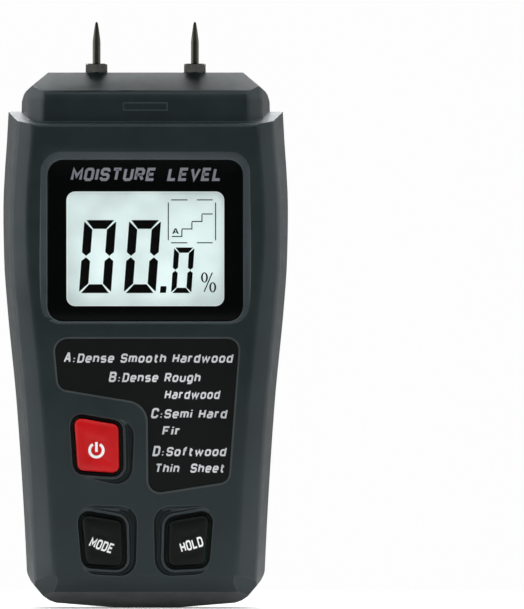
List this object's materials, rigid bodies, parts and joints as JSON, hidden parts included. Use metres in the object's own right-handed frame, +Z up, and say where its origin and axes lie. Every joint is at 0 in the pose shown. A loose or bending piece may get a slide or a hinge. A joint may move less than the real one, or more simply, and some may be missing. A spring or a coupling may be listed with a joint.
{
  "type": "moisture meter",
  "caption": "Hand-held two-pin moisture meter with a display, three keys, a rear battery door and a pull-off pin cap.",
  "frame": {"origin": "middle of the width and of the depth, at the lowest point of the chevron foot", "axes": "+Z up the meter towards the pins, -Y out of the front face with the display, +X to the right seen from the front"},
  "size_m": [0.0724, 0.0344, 0.1875],
  "materials": {
    "slate_plastic": "satin, fine grain",
    "cap_plastic": "black, polished",
    "window_gloss": "polished black border round a clear window",
    "lcd_glass": "pale grey display",
    "black_plastic": "satin black",
    "white_diffuser": "milky",
    "zebra_rubber": "layered",
    "red_key": "satin red",
    "red_plastic": "satin red",
    "green_board": "solder mask",
    "aluminium_can": "bare can",
    "battery_wrap": "printed wrap, no print",
    "nickel": "nickel plate",
    "steel": "ground steel",
    "brass": "turned",
    "white_wire": "wire sleeve",
    "silver_label": "blank label",
    "legend_black": "dark printed film",
    "zinc_screw": "zinc plate"
  },
  "bodies": {
    "housing": {"front_shell": "slate_plastic", "rear_shell": "slate_plastic", "display_window": "window_gloss", "lcd_cell": "lcd_glass", "lcd_frame": "black_plastic", "lcd_backlight": "white_diffuser", "zebra_strip": "zebra_rubber", "legend_inlay": "legend_black", "rear_label": "silver_label", "main_board": "green_board", "mcu_chip": "black_plastic", "board_capacitor": "aluminium_can", "battery_case": "battery_wrap", "battery_stud": "nickel", "battery_socket": "nickel", "battery_snap": "black_plastic", "red_lead": "red_plastic", "black_lead": "black_plastic", "pin_left": "steel", "pin_right": "steel", "pin_nut_left": "nickel", "pin_nut_right": "nickel", "pin_socket_left": "brass", "pin_socket_right": "brass", "pin_wire_left": "white_wire", "pin_wire_right": "white_wire", "power_switch": "black_plastic", "mode_switch": "black_plastic", "hold_switch": "black_plastic", "shell_screw_lower_left": "zinc_screw", "shell_screw_lower_right": "zinc_screw", "shell_screw_upper_left": "zinc_screw", "shell_screw_upper_right": "zinc_screw", "board_screw_left": "zinc_screw", "board_screw_right": "zinc_screw"},
    "cap": {"pin_cap": "cap_plastic"},
    "door": {"battery_door": "slate_plastic"},
    "power_button": {"power_key": "red_key", "power_plunger": "red_plastic"},
    "mode_button": {"mode_key": "black_plastic", "mode_plunger": "red_plastic"},
    "hold_button": {"hold_key": "black_plastic", "hold_plunger": "red_plastic"}
  },
  "joints": [
    {"name": "cap_slide", "type": "slide", "parent": "housing", "child": "cap", "axis": [0, 0, 1], "range_m": [-0.034, 0]},
    {"name": "door_hinge", "type": "hinge", "parent": "housing", "child": "door", "pos_m": [0, 0.01387, 0.0872], "axis": [-1, 0, 0], "range_deg": [0, 60]},
    {"name": "power_press", "type": "slide", "parent": "housing", "child": "power_button", "axis": [0, 1, 0], "range_m": [0, 0.0006], "stiffness_N_per_m": 350, "springref_m": -0.0015},
    {"name": "mode_press", "type": "slide", "parent": "housing", "child": "mode_button", "axis": [0, 1, 0], "range_m": [0, 0.0006], "stiffness_N_per_m": 350, "springref_m": -0.0015},
    {"name": "hold_press", "type": "slide", "parent": "housing", "child": "hold_button", "axis": [0, 1, 0], "range_m": [0, 0.0006], "stiffness_N_per_m": 350, "springref_m": -0.0015}
  ]
}
